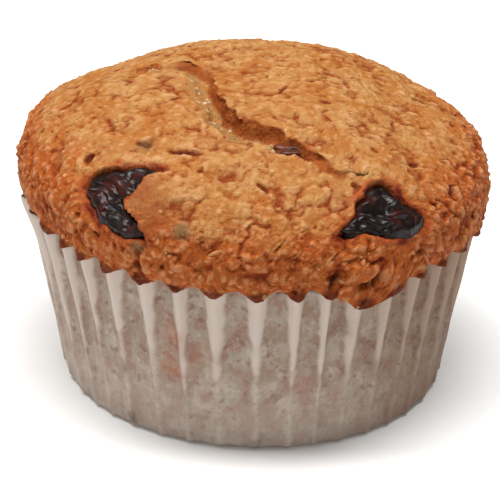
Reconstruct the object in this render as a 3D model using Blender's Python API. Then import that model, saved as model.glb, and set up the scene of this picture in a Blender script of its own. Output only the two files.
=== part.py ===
"""Raisin muffin in a white pleated paper case, standing on its flat base.

Frame: origin at the centre of the base, +Z up, the front towards -Y, lengths in metres.
Angles around the muffin are counted from the front and grow towards +X.
"""

from math import cos, pi, radians, sin

import bmesh
import bpy
from mathutils import Matrix, Vector, noise

MM = 0.001
GAP = 0.3 * MM  # clearance between neighbouring pieces

# Paper case
PLEATS = 40
STEPS_PER_PLEAT = 5
FIRST_CREST = radians(0.9)
PLEAT_WANDER = radians(1.6)  # how far a pleat may stand from its even place
PAPER_THICKNESS = 0.25 * MM
BASE_RADIUS = 25.0 * MM
BASE_ROUNDING = 0.8 * MM
RIM_RADIUS = 28.2 * MM  # in the valleys between the pleats
RIM_HEIGHT = 24.4 * MM  # at the front and the back
RIM_TILT = 0.6 * MM  # the rim stands this much higher on the left and lower on the right
LEAN = -0.6 * MM  # how far the rim's centre stands aside of the base's
PLEAT_DEPTH = 1.6 * MM  # at the rim
BASE_PLEAT_SHARE = 0.1  # of the depth at the rim
PLEAT_TAPER = 1.5
CREST_SHARPNESS = 1.4
WALL_LEVELS = (0.33, 0.67)  # shares of the rim height

# Cake
PLEAT_SLOPE = 1.4  # radial clearance needed for one unit across a pleat's flank
CAKE_CLEARANCE = (PAPER_THICKNESS + GAP) * PLEAT_SLOPE
DOME_RADIUS = 30.3 * MM
DOME_LEVEL = 28.1 * MM  # height of the widest ring
DOME_RISE = 11.6 * MM
DOME_FULLNESS = 2.2
DOME_SLOPE = 0.014  # fall towards the right
DOME_ROWS = 9
LIP_FOLD = 0.15 * MM  # how far the crust's edge curls over the paper
LIP_WIDTH = 0.35 * MM
LIP_RISE = 0.4 * MM
LIP_RETREAT = 0.6 * MM  # the crust stands back from the paper on the left
UNEVENNESS = 0.7 * MM
UNEVEN_SPAN = 13.0 * MM

# Crust lump that ran over the rim at the front right
LUMP_ANGLE = radians(26)
LUMP_RISE = radians(6)  # how fast it grows on its left
LUMP_FALL = radians(21)  # and dies away on its right
LUMP_DROP = 2.3 * MM
LUMP_THICKNESS = 1.2 * MM

# Swellings and hollows of the crust: x, y, reach, height in millimetres
SWELLINGS = (
    (-13.0, -24.5, 4.0, 1.1),
    (14.0, -27.0, 5.0, 0.5),
    (-30.5, -3.0, 5.0, 0.5),
    (-28.5, 7.0, 6.0, 0.4),
    (-21.0, 17.0, 5.0, -0.5),
    (13.0, 18.5, 6.5, 0.6),
    (4.0, -7.0, 8.0, 0.7),
)

# Crack across the crown: x, y, half width and depth in millimetres
CRACK = (
    (-16.5, 10.5, 0.3, 0.6),
    (-14.0, 7.5, 1.2, 1.8),
    (-11.0, 5.6, 1.4, 2.2),
    (-8.2, 2.2, 1.6, 2.0),
    (-6.2, -3.0, 2.0, 2.4),
    (-5.0, -9.0, 2.1, 2.6),
    (-2.2, -13.4, 1.9, 2.6),
    (1.4, -16.2, 1.4, 2.8),
    (4.6, -17.2, 1.3, 2.8),
    (7.6, -18.8, 0.7, 1.4),
    (10.6, -19.4, 0.3, 0.6),
)
CRACK_HEADROOM = 3.0 * MM
CRACK_FLARE = 1.7
CRACK_FLOOR = 0.4

# Raisins: centre, half length, half width, half thickness, heading, depth of the centre
RAISINS = {
    "raisin_left": {"place": (-16.4, -23.3), "size": (6.0, 3.9, 2.1), "heading": -52, "sunk": 1.5, "seed": 3},
    "raisin_right": {"place": (15.4, -22.9), "size": (6.2, 3.9, 2.3), "heading": 12, "sunk": 1.5, "seed": 8},
    "raisin_crack": {"place": (4.7, -15.7), "size": (2.4, 1.2, 1.3), "heading": -14, "sunk": 1.4, "seed": 5},
}
WRINKLE_DEPTH = 0.45 * MM
WRINKLE_SPAN = 2.4 * MM


def clear_scene():
    for thing in list(bpy.data.objects):
        bpy.data.objects.remove(thing, do_unlink=True)


def finish_material(name, colour, roughness):
    material = bpy.data.materials.new(name)
    material.use_nodes = True
    shader = material.node_tree.nodes["Principled BSDF"]
    shader.inputs["Base Color"].default_value = (*colour, 1.0)
    shader.inputs["Roughness"].default_value = roughness
    shader.inputs["Metallic"].default_value = 0.0
    material.diffuse_color = (*colour, 1.0)
    return material


def add_object(name, mesh_data, material):
    mesh = bpy.data.meshes.new(name)
    bmesh.ops.recalc_face_normals(mesh_data, faces=mesh_data.faces)
    mesh_data.to_mesh(mesh)
    mesh_data.free()
    mesh.shade_smooth()
    mesh.set_sharp_from_angle(angle=radians(50))
    thing = bpy.data.objects.new(name, mesh)
    bpy.context.scene.collection.objects.link(thing)
    if material:
        mesh.materials.append(material)
    return thing


def around(angle, radius, height):
    """Point on a ring about the muffin's centre line, which leans as far up as the rim."""
    aside = LEAN * min(height / RIM_HEIGHT, 1.0)
    return Vector((radius * sin(angle) + aside, -radius * cos(angle), height))


# Rings of points and the faces between them


def column_angle(column):
    """Angle of one of the columns of points that the case and the cake share."""
    even = FIRST_CREST + 2 * pi * column / (PLEATS * STEPS_PER_PLEAT)
    return even + PLEAT_WANDER * (0.6 * sin(5 * even + 1.0) + 0.4 * sin(11 * even))


def crest_share(column):
    """1 on a pleat's crest, 0 in a valley."""
    phase = 2 * pi * (column % STEPS_PER_PLEAT) / STEPS_PER_PLEAT
    return (0.5 + 0.5 * cos(phase)) ** CREST_SHARPNESS


def ring(mesh_data, point_of, step=1):
    columns = range(0, PLEATS * STEPS_PER_PLEAT, step)
    return [mesh_data.verts.new(point_of(column)) for column in columns]


def bridge(mesh_data, lower, upper):
    """Faces between two rings, the upper one of which may have half the points."""
    count = len(lower)
    if len(upper) == count:
        for i in range(count):
            j = (i + 1) % count
            mesh_data.faces.new((lower[i], lower[j], upper[j], upper[i]))
        return
    for i in range(len(upper)):
        j = (i + 1) % len(upper)
        first, middle, last = lower[2 * i], lower[2 * i + 1], lower[(2 * i + 2) % count]
        mesh_data.faces.new((first, middle, upper[i]))
        mesh_data.faces.new((middle, last, upper[j]))
        mesh_data.faces.new((middle, upper[j], upper[i]))


# Paper case


def rim_height(angle):
    return RIM_HEIGHT - RIM_TILT * sin(angle)


def case_radius(column, height):
    """Outer radius of the paper."""
    share = height / RIM_HEIGHT
    valley = BASE_RADIUS + (RIM_RADIUS - BASE_RADIUS) * share
    depth = PLEAT_DEPTH * (BASE_PLEAT_SHARE + (1 - BASE_PLEAT_SHARE) * share**PLEAT_TAPER)
    return valley + depth * crest_share(column)


def case_point(column, height):
    return around(column_angle(column), case_radius(column, height), height)


def add_paper_case():
    mesh_data = bmesh.new()
    foot = ring(mesh_data, lambda c: around(column_angle(c), BASE_RADIUS - BASE_ROUNDING, 0))
    mesh_data.faces.new(reversed(foot))
    below = foot
    for height in (BASE_ROUNDING, WALL_LEVELS[0] * RIM_HEIGHT, WALL_LEVELS[1] * RIM_HEIGHT):
        above = ring(mesh_data, lambda c: case_point(c, height))
        bridge(mesh_data, below, above)
        below = above
    rim = ring(mesh_data, lambda c: case_point(c, rim_height(column_angle(c))))
    bridge(mesh_data, below, rim)
    case = add_object("paper_case", mesh_data, finish_material("paper", (0.62, 0.56, 0.48), 0.75))
    wall = case.modifiers.new("paper", "SOLIDIFY")
    wall.thickness = PAPER_THICKNESS
    wall.offset = -1.0
    wall.use_even_offset = True
    return case


# Cake


def swelling(x, y):
    """Height added to the plain dome by the uneven crust, in metres."""
    total = UNEVENNESS * noise.noise(Vector((x, y, 0)) / UNEVEN_SPAN)
    for place_x, place_y, reach, height in SWELLINGS:
        away = (Vector((x, y)) - Vector((place_x, place_y)) * MM).length / (reach * MM)
        total += height * MM * 2.718281828 ** (-away * away)
    return total


def dome_point(angle, climb):
    """Point of the crust: climb runs from 0 at the widest ring to 1 at the top."""
    turn = climb * pi / 2
    radius = DOME_RADIUS * max(cos(turn), 0.0) ** (2 / DOME_FULLNESS)
    rise = DOME_RISE * sin(turn) ** (2 / DOME_FULLNESS)
    point = around(angle, radius, DOME_LEVEL + rise)
    outward = Vector((point.x / DOME_RADIUS, point.y / DOME_RADIUS, 2 * rise / DOME_RISE)).normalized()
    point += outward * swelling(point.x, point.y)
    point.z -= DOME_SLOPE * point.x
    return point


def dome_at(x, y):
    """Point of the crust over x, y and the direction straight out of it there."""
    across = Vector((x - LEAN, y))
    share = across.length / DOME_RADIUS
    height = DOME_LEVEL + DOME_RISE * (1 - share**DOME_FULLNESS) ** (1 / DOME_FULLNESS)
    rise_share = (height - DOME_LEVEL) / DOME_RISE
    steep = share ** (DOME_FULLNESS - 1) / DOME_RADIUS
    flat = rise_share ** (DOME_FULLNESS - 1) / DOME_RISE
    side = across.normalized() * steep
    outward = Vector((side.x, side.y, flat)).normalized()
    point = Vector((x, y, height - DOME_SLOPE * x)) + outward * swelling(x, y)
    return point, outward


def lump_share(angle):
    """How much of the overrun lump hangs at this angle, from 0 to 1."""
    away = angle - LUMP_ANGLE
    away = away / LUMP_FALL if away > 0 else -away / LUMP_RISE
    return 0.0 if away >= 1 else 0.5 + 0.5 * cos(pi * away)


def lip_radius(column):
    """Radius at which the crust's edge passes over the paper's edge."""
    angle = column_angle(column)
    retreat = LIP_RETREAT * max(0.0, -sin(angle)) ** 6
    over_pleat = case_radius(column, rim_height(angle)) - retreat
    over_crest = RIM_RADIUS + PLEAT_DEPTH + 2 * GAP
    return over_pleat + (over_crest - over_pleat) * min(1.0, 3 * lump_share(angle))


def wall_point(column, height):
    return around(column_angle(column), case_radius(column, height) - CAKE_CLEARANCE, height)


def lip_points(column):
    """The crust's edge, from inside the paper to outside it: four points."""
    angle = column_angle(column)
    top = rim_height(angle) + GAP
    radius = lip_radius(column)
    inner = case_radius(column, top) - CAKE_CLEARANCE
    hang = LUMP_DROP * lump_share(angle)
    thick = LIP_WIDTH + LUMP_THICKNESS * lump_share(angle)
    return (
        around(angle, inner, top + LIP_FOLD),
        around(angle, radius, top + LIP_FOLD),
        around(angle, radius + 0.3 * thick, top - hang),
        around(angle, radius + thick, top + LIP_RISE - 0.6 * hang),
    )


def add_cake():
    mesh_data = bmesh.new()
    floor = PAPER_THICKNESS + GAP
    foot_radius = BASE_RADIUS - BASE_ROUNDING - GAP
    below = ring(mesh_data, lambda c: around(column_angle(c), foot_radius, floor))
    mesh_data.faces.new(reversed(below))
    for height in (floor + BASE_ROUNDING, WALL_LEVELS[0] * RIM_HEIGHT, WALL_LEVELS[1] * RIM_HEIGHT):
        above = ring(mesh_data, lambda c: wall_point(c, height))
        bridge(mesh_data, below, above)
        below = above
    for level in range(4):
        above = ring(mesh_data, lambda c: lip_points(c)[level])
        bridge(mesh_data, below, above)
        below = above
    for row in range(DOME_ROWS):
        climb = row / DOME_ROWS
        above = ring(mesh_data, lambda c: dome_point(column_angle(c), climb), step=2)
        bridge(mesh_data, below, above)
        below = above
    top = mesh_data.verts.new(dome_point(0, 1))
    for i in range(len(below)):
        mesh_data.faces.new((below[i], below[(i + 1) % len(below)], top))
    return add_object("cake", mesh_data, finish_material("crust", (0.58, 0.27, 0.09), 0.7))


def add_crack_cutter():
    """Wedge along the crack's route, standing out of the crust."""
    mesh_data = bmesh.new()
    sections = []
    for i, (x, y, half_width, depth) in enumerate(CRACK):
        before, after = CRACK[max(i - 1, 0)], CRACK[min(i + 1, len(CRACK) - 1)]
        along = Vector((after[0] - before[0], after[1] - before[1], 0)).normalized()
        side = Vector((-along.y, along.x, 0)) * half_width * MM
        surface, _ = dome_at(x * MM, y * MM)
        top = Vector((0, 0, CRACK_HEADROOM))
        bottom = Vector((0, 0, -depth * MM))
        corners = (
            surface + top - side * CRACK_FLARE,
            surface + bottom - side * CRACK_FLOOR,
            surface + bottom + side * CRACK_FLOOR,
            surface + top + side * CRACK_FLARE,
        )
        sections.append([mesh_data.verts.new(corner) for corner in corners])
    for first, second in zip(sections, sections[1:]):
        bridge(mesh_data, first, second)
    mesh_data.faces.new(sections[0])
    mesh_data.faces.new(reversed(sections[-1]))
    return add_object("crack_cutter", mesh_data, None)


# Raisins


def raisin_mesh(place, size, heading, sunk, seed, grow=0.0):
    """Wrinkled, flattened berry lying in the crust; grow swells it for its socket."""
    mesh_data = bmesh.new()
    bmesh.ops.create_icosphere(mesh_data, subdivisions=2, radius=1.0)
    radii = Vector(size) * MM
    for vert in mesh_data.verts:
        out = vert.co.normalized()
        point = Vector((out.x * radii.x, out.y * radii.y, out.z * radii.z))
        wrinkle = noise.noise(point / WRINKLE_SPAN + Vector((seed, 0, 0)))
        vert.co = point + out * (WRINKLE_DEPTH * wrinkle + grow)
    surface, outward = dome_at(place[0] * MM, place[1] * MM)
    level = Vector((cos(radians(heading)), sin(radians(heading)), 0))
    length_way = (level - outward * level.dot(outward)).normalized()
    width_way = outward.cross(length_way)
    turn = Matrix((length_way, width_way, outward)).transposed().to_4x4()
    turn.translation = surface - outward * sunk * MM
    bmesh.ops.transform(mesh_data, matrix=turn, verts=mesh_data.verts)
    return mesh_data


def cut_away(target, cutter):
    cutter.hide_render = True
    cutter.display_type = "WIRE"
    cut = target.modifiers.new(cutter.name, "BOOLEAN")
    cut.operation = "DIFFERENCE"
    cut.solver = "EXACT"
    cut.object = cutter


def main():
    clear_scene()
    add_paper_case()
    cake = add_cake()
    cut_away(cake, add_crack_cutter())
    skin = finish_material("raisin", (0.02, 0.012, 0.012), 0.3)
    for name, raisin in RAISINS.items():
        add_object(name, raisin_mesh(**raisin), skin)
        cut_away(cake, add_object(name + "_socket", raisin_mesh(**raisin, grow=GAP), None))


main()
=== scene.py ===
from math import cos, pi, radians, sin

import bmesh
import bpy
import numpy as np
from mathutils import Matrix, Vector, noise


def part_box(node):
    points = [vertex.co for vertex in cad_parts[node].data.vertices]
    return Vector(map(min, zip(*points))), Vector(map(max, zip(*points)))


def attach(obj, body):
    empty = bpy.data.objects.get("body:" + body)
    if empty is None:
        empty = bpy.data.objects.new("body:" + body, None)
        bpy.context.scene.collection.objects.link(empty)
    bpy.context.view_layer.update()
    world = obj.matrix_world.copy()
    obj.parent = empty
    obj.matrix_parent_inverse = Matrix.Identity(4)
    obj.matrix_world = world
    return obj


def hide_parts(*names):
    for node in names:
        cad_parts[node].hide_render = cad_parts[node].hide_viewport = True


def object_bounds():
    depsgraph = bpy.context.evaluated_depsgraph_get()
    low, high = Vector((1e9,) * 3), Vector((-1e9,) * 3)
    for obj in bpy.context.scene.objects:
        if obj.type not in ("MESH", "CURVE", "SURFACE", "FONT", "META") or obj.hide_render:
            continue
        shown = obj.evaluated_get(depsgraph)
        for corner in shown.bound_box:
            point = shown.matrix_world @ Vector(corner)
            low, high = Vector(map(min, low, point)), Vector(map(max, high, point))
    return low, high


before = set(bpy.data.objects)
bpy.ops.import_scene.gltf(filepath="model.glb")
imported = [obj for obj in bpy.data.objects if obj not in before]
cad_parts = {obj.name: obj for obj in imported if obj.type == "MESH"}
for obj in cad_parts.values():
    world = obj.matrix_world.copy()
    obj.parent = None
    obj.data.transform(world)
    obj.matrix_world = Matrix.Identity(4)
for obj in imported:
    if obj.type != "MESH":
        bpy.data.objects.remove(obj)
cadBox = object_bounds()
mm = 0.001  # everything below is worked out in millimetres and scaled when a mesh is made
print("frame loaded:", ", ".join(sorted(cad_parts)))


# camera

cameraSet = {
    "aimHeight": 12.1,
    "distance": 350.0,
    "elevation": 26.93,
    "aside": -0.77,  # how far the picture's middle lies right of the aim, seen from the camera
    "above": 3.47,  # and above it
    "roll": 2.14,
    "lens": 189.5,
}


def addCamera(choice):
    tip = radians(choice["elevation"])
    turn = radians(choice["roll"])
    back = Vector((0, -cos(tip), sin(tip)))
    right = Vector((1, 0, 0))
    up = back.cross(right)
    place = Vector((0, 0, choice["aimHeight"])) + back * choice["distance"]
    target = Vector((0, 0, choice["aimHeight"])) + right * choice["aside"] + up * choice["above"]
    viewBack = (place - target).normalized()
    viewRight = up.cross(viewBack).normalized()
    viewUp = viewBack.cross(viewRight)
    rolledRight = viewRight * cos(turn) + viewUp * sin(turn)
    rolledUp = viewUp * cos(turn) - viewRight * sin(turn)
    data = bpy.data.cameras.new("muffinView")
    data.lens = choice["lens"]
    data.sensor_width = 36.0
    data.clip_start = 0.01
    data.clip_end = 20.0
    view = bpy.data.objects.new("muffinView", data)
    turnMatrix = Matrix((rolledRight, rolledUp, viewBack)).transposed().to_4x4()
    view.matrix_world = Matrix.Translation(place * mm) @ turnMatrix
    bpy.context.scene.collection.objects.link(view)
    bpy.context.scene.camera = view


addCamera(cameraSet)
print("camera placed")


# small helpers for numbers and meshes


def tone(red, green, blue):
    # a colour given as screen values from 0 to 255
    share = np.array((red, green, blue)) / 255
    straight = np.where(share <= 0.04045, share / 12.92, ((share + 0.055) / 1.055) ** 2.4)
    return (*straight.tolist(), 1.0)


def smooth(low, high, value):
    share = np.clip((value - low) / (high - low), 0, 1)
    return share * share * (3 - 2 * share)


def seedShift(seed):
    return Vector((seed * 17.3, seed * 5.1, seed * 9.7))


def noiseAt(points, span, seed=0.0):
    shift = seedShift(seed)
    flat = points.reshape(-1, 3) / span
    return np.array([noise.noise(Vector(p) + shift) for p in flat]).reshape(points.shape[:-1])


def fractalAt(points, span, seed=0.0, layers=4, keep=0.8):
    shift = seedShift(seed)
    flat = points.reshape(-1, 3) / span
    values = [noise.fractal(Vector(p) + shift, keep, 2.1, layers) for p in flat]
    return np.array(values).reshape(points.shape[:-1])


def cellsAt(points, span, seed=0.0):
    # distances to the nearest two grains, and a number from 0 to 1 that is each grain's own
    shift = seedShift(seed)
    rows = []
    for p in points.reshape(-1, 3) / span:
        distances, centres = noise.voronoi(Vector(p) + shift)
        rows.append((distances[0], distances[1], sin(centres[0].dot((12.99, 78.23, 37.72))) * 43758.5453 % 1))
    return np.array(rows).reshape(*points.shape[:-1], 3).transpose(-1, *range(points.ndim - 1))


def makeMesh(name, points, faces):
    mesh = bpy.data.meshes.new(name)
    mesh.from_pydata((points * mm).tolist(), [], faces)
    mesh.shade_smooth()
    mesh.update()
    piece = bpy.data.objects.new(name, mesh)
    bpy.context.scene.collection.objects.link(piece)
    return piece


def addMark(piece, name, values):
    # a number for each point, which the material reads by name
    mark = piece.data.attributes.new(name, "FLOAT", "POINT")
    mark.data.foreach_set("value", np.ascontiguousarray(values, dtype=np.float32))


def bridgeRows(first, second):
    count = len(first)
    return [(first[i], first[(i + 1) % count], second[(i + 1) % count], second[i]) for i in range(count)]


def smoothRoute(knots, steps):
    # a curve through the knots, each of which may carry widths and depths after its place
    knots = np.array(knots, float)
    padded = np.vstack((2 * knots[0] - knots[1], knots, 2 * knots[-1] - knots[-2]))
    rows = []
    for i in range(1, len(padded) - 2):
        a, b, c, d = padded[i - 1 : i + 3]
        for t in np.linspace(0, 1, steps, endpoint=False):
            rows.append(0.5 * (2 * b + (c - a) * t + (2 * a - 5 * b + 4 * c - d) * t**2 + (3 * b - a - 3 * c + d) * t**3))
    rows.append(knots[-1])
    return np.array(rows)


# paper case: its form, which the cake follows too

caseSet = {
    "pleats": 40,
    "firstCrest": 0.9,  # degrees from the front
    "wander": 1.6,  # degrees a pleat may stand from its even place
    "baseRadius": 25.0,
    "baseRounding": 0.8,
    "rimRadius": 28.2,  # in the valleys
    "rimHeight": 24.4,
    "rimTilt": 0.6,
    "lean": -0.6,
    "pleatDepth": 1.6,
    "pleatTaper": 1.7,
    "paper": 0.13,
    "stepsPerPleat": 16,
    "wallRows": 40,
}

rng = np.random.default_rng(40)
pleatBreadth = rng.uniform(0.75, 1.5, caseSet["pleats"])  # broad or narrow crest
pleatReach = rng.uniform(0.8, 1.35, caseSet["pleats"])  # how far down a crest runs


def evenAngle(angle):
    # undoes the uneven spacing of the pleats
    wander = radians(caseSet["wander"])
    even = angle
    for _ in range(4):
        even = angle - wander * (0.6 * np.sin(5 * even + 1.0) + 0.4 * np.sin(11 * even))
    return even


def pleatPhase(angle):
    return caseSet["pleats"] * (evenAngle(angle) - radians(caseSet["firstCrest"]))


def pleatNumber(angle):
    return np.round(pleatPhase(angle) / (2 * pi)).astype(int) % caseSet["pleats"]


def crestShare(angle, sharpness=1.4):
    return (0.5 + 0.5 * np.cos(pleatPhase(angle))) ** sharpness


def rimHeight(angle):
    return caseSet["rimHeight"] - caseSet["rimTilt"] * np.sin(angle)


def caseRadius(angle, height):
    number = pleatNumber(angle)
    share = np.clip(height / caseSet["rimHeight"], 0, 1.08)
    valley = caseSet["baseRadius"] + (caseSet["rimRadius"] - caseSet["baseRadius"]) * share
    depth = caseSet["pleatDepth"] * (0.17 + 0.83 * share ** (caseSet["pleatTaper"] * pleatReach[number]))
    sharpness = pleatBreadth[number] * (1.1 + 3.6 * (1 - np.minimum(share, 1)))
    return valley + depth * crestShare(angle, sharpness)


def around(angle, radius, height):
    aside = caseSet["lean"] * np.minimum(height / caseSet["rimHeight"], 1.0)
    return np.stack((radius * np.sin(angle) + aside, -radius * np.cos(angle), height + 0 * angle), axis=-1)


# cake: the form of the crust

crustSet = {
    "gridSide": 288,  # points along the square that is mapped onto the dome
    "domeRadius": 30.3,
    "domeLevel": 28.1,
    "domeRise": 11.6,
    "domeFullness": 2.2,
    "domeSlope": 0.014,
    "domeShare": 0.895,  # of the way from the top to the lip
    "unevenness": 0.7,
    "unevenSpan": 13.0,
    "overlap": 0.25,  # how far the crust stands over the paper
    "retreat": 2.0,  # the paper stands free of the crust on the left
    "scallop": 0.85,  # how far the crust droops over each crest
    "bulge": 0.3,  # and how far it stands out there
    "lumpAngle": 26,
    "lumpRise": 6,  # degrees over which the overrun lump grows on its left
    "lumpFall": 21,  # and dies away on its right
    "lumpDrop": 2.2,
    "lumpThickness": 0.9,
}

# swellings and hollows: x, y, reach, height
swellings = (
    (-13.0, -24.5, 4.0, 1.1),
    (14.0, -27.0, 5.0, 0.5),
    (-30.5, -3.0, 5.0, 0.5),
    (-28.5, 7.0, 6.0, 0.4),
    (-21.0, 17.0, 5.0, -0.5),
    (13.0, 18.5, 6.5, 0.6),
    (4.0, -7.0, 8.0, 0.7),
)

# the torn edge across the crown: x, y, breadth of the trough in front of it, depth
tornEdge = (
    (-17.0, 3.4, 1.0, 0.2),
    (-15.8, 4.8, 1.8, 0.7),
    (-14.5, 6.2, 2.4, 1.3),
    (-12.8, 6.0, 2.2, 0.5),
    (-10.9, 6.3, 2.6, 0.8),
    (-9.2, 5.6, 3.2, 1.2),
    (-7.8, 4.4, 3.4, 0.95),
    (-6.3, 2.2, 3.6, 0.9),
    (-6.0, -0.4, 3.8, 1.1),
    (-5.4, -3.1, 4.0, 1.45),
    (-4.5, -6.1, 3.6, 1.7),
    (-3.7, -8.9, 4.2, 2.1),
    (-2.1, -11.4, 4.6, 2.3),
    (0.2, -12.7, 3.8, 2.0),
    (2.5, -14.0, 3.0, 1.7),
    (3.4, -15.4, 2.6, 2.1),
    (4.8, -15.5, 2.4, 2.4),
    (6.2, -16.9, 1.5, 2.1),
    (7.6, -18.2, 0.9, 1.1),
    (9.9, -19.7, 0.8, 0.9),
    (11.4, -19.5, 0.5, 0.3),
)

# short splits in the crust: x, y, heading in degrees, length, half width, depth
splits = (
    (2.5, -2.6, 68, 3.4, 0.28, 0.55),
    (6.5, 0.9, 25, 2.6, 0.25, 0.55),
    (8.1, 2.9, 60, 1.8, 0.3, 0.6),
    (8.2, -5.0, 5, 1.7, 0.28, 0.5),
    (-11.3, -4.5, 45, 3.2, 0.2, 0.35),
    (-13.2, -6.7, 20, 1.2, 0.25, 0.3),
    (-21.1, -15.1, 40, 1.5, 0.45, 0.8),
    (19.3, -13.2, 40, 2.0, 0.3, 0.6),
    (24.3, -13.8, 80, 2.4, 0.3, 0.6),
    (20.9, -4.0, 10, 1.2, 0.28, 0.45),
    (24.7, 0.5, 70, 1.4, 0.28, 0.4),
    (14.3, -13.8, -45, 1.5, 0.25, 0.4),
    (-7.1, -21.6, 10, 1.0, 0.35, 0.5),
    (0.5, -23.5, -35, 2.2, 0.28, 0.6),
    (-9.3, -17.7, -14, 5.0, 0.35, 0.8),
    (-14.4, -15.0, -35, 2.6, 0.5, 0.6),
    (-14.0, -19.6, -22, 7.0, 0.55, 1.5),
    (12.0, -21.0, -30, 1.6, 0.3, 0.5),
)


def swelling(x, y):
    flat = np.stack((x, y, 0 * x), axis=-1)
    total = crustSet["unevenness"] * noiseAt(flat, crustSet["unevenSpan"])
    for placeX, placeY, reach, height in swellings:
        away = ((x - placeX) ** 2 + (y - placeY) ** 2) / reach**2
        total = total + height * np.exp(-away)
    return total


def lumpShare(angle):
    away = np.degrees(angle) - crustSet["lumpAngle"]
    away = np.where(away > 0, away / crustSet["lumpFall"], -away / crustSet["lumpRise"])
    return 0.5 + 0.5 * np.cos(pi * np.minimum(away, 1))


def lipAt(angle):
    # radius and height of the crust's lower edge
    rim = rimHeight(angle)
    crest = crestShare(angle, 1.1)
    lump = lumpShare(angle)
    free = crustSet["retreat"] * np.maximum(0, -np.sin(angle)) ** 7
    radius = caseRadius(angle, rim) + crustSet["overlap"] + crustSet["bulge"] * crest * (1 - lump) - free
    overCrest = caseSet["rimRadius"] + caseSet["pleatDepth"] + crustSet["overlap"]
    radius = radius + (overCrest - radius) * np.minimum(1, 3 * lump) + crustSet["lumpThickness"] * lump
    droop = crustSet["scallop"] * (0.75 + 0.5 * pleatReach[pleatNumber(angle)] - 0.45) * crest
    height = rim + 0.1 - droop * (1 - lump) - crustSet["lumpDrop"] * lump
    return radius, height


def domeProfile():
    # radius and height along the arc from the top down to the widest ring
    climb = np.linspace(1, 0, 1500)
    radius = crustSet["domeRadius"] * np.maximum(np.cos(climb * pi / 2), 0) ** (2 / crustSet["domeFullness"])
    rise = crustSet["domeRise"] * np.sin(climb * pi / 2) ** (2 / crustSet["domeFullness"])
    run = np.concatenate(([0], np.cumsum(np.hypot(np.diff(radius), np.diff(rise)))))
    return run / run[-1], radius, rise


def squareToDisc(side):
    # share of the way out and angle from the front, for each point of a square grid
    across = np.linspace(-1, 1, side)
    u, v = np.meshgrid(across, across, indexing="ij")
    wide = np.abs(u) > np.abs(v)
    safeU = np.where(u == 0, 1e-9, u)
    safeV = np.where(v == 0, 1e-9, v)
    reach = np.where(wide, u, v)
    turn = np.where(wide, pi / 4 * v / safeU, pi / 2 - pi / 4 * u / safeV)
    x, y = reach * np.cos(turn), reach * np.sin(turn)
    return np.hypot(x, y), np.arctan2(x, -y)


def crustBase(reach, angle):
    share, radii, rises = domeProfile()
    onDome = np.clip(reach / crustSet["domeShare"], 0, 1)
    radius = np.interp(onDome, share, radii)
    rise = np.interp(onDome, share, rises)
    below = np.clip((reach - crustSet["domeShare"]) / (1 - crustSet["domeShare"]), 0, 1) * pi / 2
    lipRadius, lipHeight = lipAt(angle)
    curve = 2 / 2.3
    under = radius - (crustSet["domeRadius"] - lipRadius) * (1 - np.cos(below) ** curve)
    height = crustSet["domeLevel"] + rise - (crustSet["domeLevel"] - lipHeight) * np.sin(below) ** curve
    points = around(angle, np.where(below > 0, under, radius), height)
    fade = 1 - smooth(0, 1, below / (pi / 2))
    points[..., 2] -= crustSet["domeSlope"] * points[..., 0] * fade
    return points, below / (pi / 2)


def gridNormals(points):
    along = np.gradient(points, axis=0)
    across = np.gradient(points, axis=1)
    normals = np.cross(along, across)
    normals /= np.linalg.norm(normals, axis=-1, keepdims=True) + 1e-12
    flip = np.sign((normals * (points - np.array((0, 0, 20.0)))).sum(-1, keepdims=True))
    return normals * flip


def blurGrid(values, reach):
    # a box blur run three times comes close to a round one
    for _ in range(3):
        for axis in (0, 1):
            widths = [(0, 0), (0, 0)]
            widths[axis] = (reach + 1, reach)
            sums = np.cumsum(np.pad(values, widths, mode="edge"), axis=axis)
            count = values.shape[axis]
            high = np.take(sums, np.arange(2 * reach + 1, 2 * reach + 1 + count), axis=axis)
            low = np.take(sums, np.arange(0, count), axis=axis)
            values = (high - low) / (2 * reach + 1)
    return values


def gather(away, reach, strength=0.7):
    # pulls points towards an edge, so that a steep wall there has rows enough
    return -away * strength * np.exp(-((away / reach) ** 2))


def nearestOnRoute(route, x, y):
    # index of the closest row, distance with its side, and the way across at that row
    tangent = np.gradient(route[:, :2], axis=0)
    tangent /= np.linalg.norm(tangent, axis=1, keepdims=True)
    flatX, flatY = x.ravel(), y.ravel()
    best = np.full(flatX.size, 1e9)
    index = np.zeros(flatX.size, int)
    for i, row in enumerate(route):
        away = (flatX - row[0]) ** 2 + (flatY - row[1]) ** 2
        closer = away < best
        best[closer] = away[closer]
        index[closer] = i
    side = tangent[index, 0] * (flatY - route[index, 1]) - tangent[index, 1] * (flatX - route[index, 0])
    beside = (index > 0) & (index < len(route) - 1)  # past the ends the plain distance counts
    away = np.where(beside, side, np.where(side >= 0, 1, -1) * np.sqrt(best))
    acrossWay = np.stack((-tangent[index, 1], tangent[index, 0]), axis=-1)
    return index.reshape(x.shape), away.reshape(x.shape), acrossWay.reshape(*x.shape, 2)


# raisins: their places in the crust

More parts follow.
